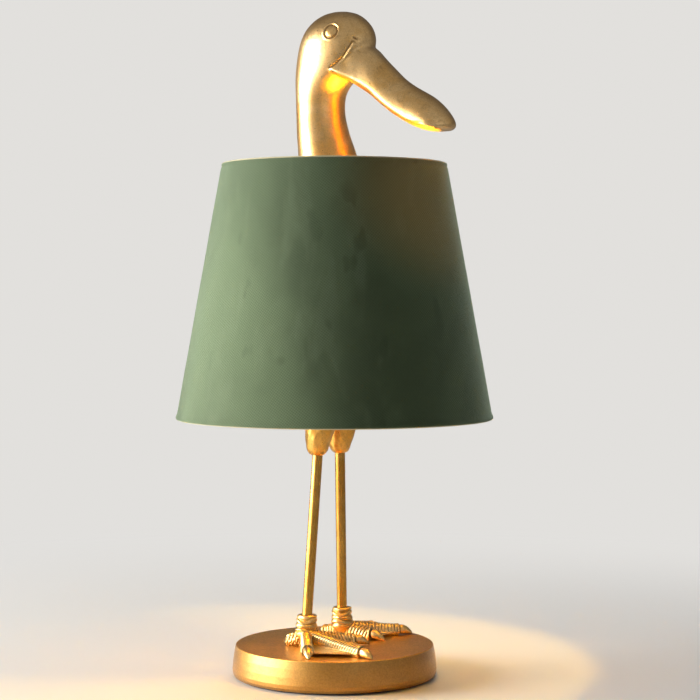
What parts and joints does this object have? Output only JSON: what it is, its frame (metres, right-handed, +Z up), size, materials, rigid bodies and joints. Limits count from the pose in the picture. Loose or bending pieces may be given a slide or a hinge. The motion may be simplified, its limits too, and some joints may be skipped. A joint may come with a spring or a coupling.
{
  "type": "table lamp",
  "caption": "Table lamp in the shape of a standing duck, with a tapered fabric shade round its body and a screw-in bulb inside.",
  "frame": {"origin": "centre of the underside of the round base", "axes": "+Z up, +X the way the duck faces and its bill points, +Y the duck's left"},
  "size_m": [0.31, 0.31, 0.6494],
  "materials": {
    "cast_gold": "antique gold paint, satin, lightly mottled",
    "foot_gold": "antique gold paint, satin",
    "leg_gold": "satin gold",
    "resin_gold": "cast resin under antique gold paint, satin",
    "steel": "zinc plated",
    "felt": "black felt",
    "black_plastic": "moulded black plastic",
    "white_plastic": "moulded white plastic",
    "core_plastic": "heat resisting white plastic",
    "contact_brass": "plain brass",
    "lead_black": "black insulated lead",
    "velvet": "sage green velvet",
    "liner": "cream translucent liner",
    "bulb_glass": "clear"
  },
  "bodies": {
    "stand": {"base_casting": "cast_gold", "base_cover": "steel", "base_felt": "felt", "cover_screws": "steel", "cord_bush": "black_plastic", "terminal_block": "white_plastic", "terminal_screws": "steel", "right_foot": "foot_gold", "left_foot": "foot_gold", "right_leg": "leg_gold", "left_leg": "leg_gold", "leg_washers": "steel", "leg_nuts": "steel", "torso": "resin_gold", "neck_head": "resin_gold", "neck_stud": "steel", "holder_bracket": "steel", "bracket_screws": "steel", "nipple": "steel", "nipple_nut": "steel", "holder_cap": "black_plastic", "holder_body": "black_plastic", "holder_core": "core_plastic", "screw_shell": "contact_brass", "centre_contact": "contact_brass", "supply_lead": "lead_black"},
    "seat": {"seat_ring": "black_plastic"},
    "shade": {"spider_hub": "steel", "spider_arms": "steel", "top_wire": "steel", "bottom_wire": "steel", "shade_liner": "liner", "shade_cover": "velvet"},
    "bulb_foot": {"bulb_tip": "black_plastic"},
    "bulb": {"bulb_cap": "contact_brass", "bulb_globe": "bulb_glass", "bulb_stem": "bulb_glass", "bulb_filaments": "steel"}
  },
  "joints": [
    {"name": "shade_swivel", "type": "hinge", "parent": "stand", "child": "seat", "pos_m": [0, 0, 0.466], "axis": [0, 0, 1], "continuous": true},
    {"name": "shade_lift", "type": "slide", "parent": "seat", "child": "shade", "axis": [0, 0, 1], "range_m": [0, 0.024]},
    {"name": "bulb_rise", "type": "slide", "parent": "stand", "child": "bulb_foot", "axis": [0, 0, 1], "range_m": [0, 0.0198]},
    {"name": "bulb_turn", "type": "hinge", "parent": "bulb_foot", "child": "bulb", "pos_m": [0.078, 0, 0.375], "axis": [0, 0, 1], "range_deg": [0, 2520]}
  ],
  "couplings": [
    {"joint": "bulb_rise", "follows": "bulb_turn", "m_per_rad": 0.000449}
  ]
}
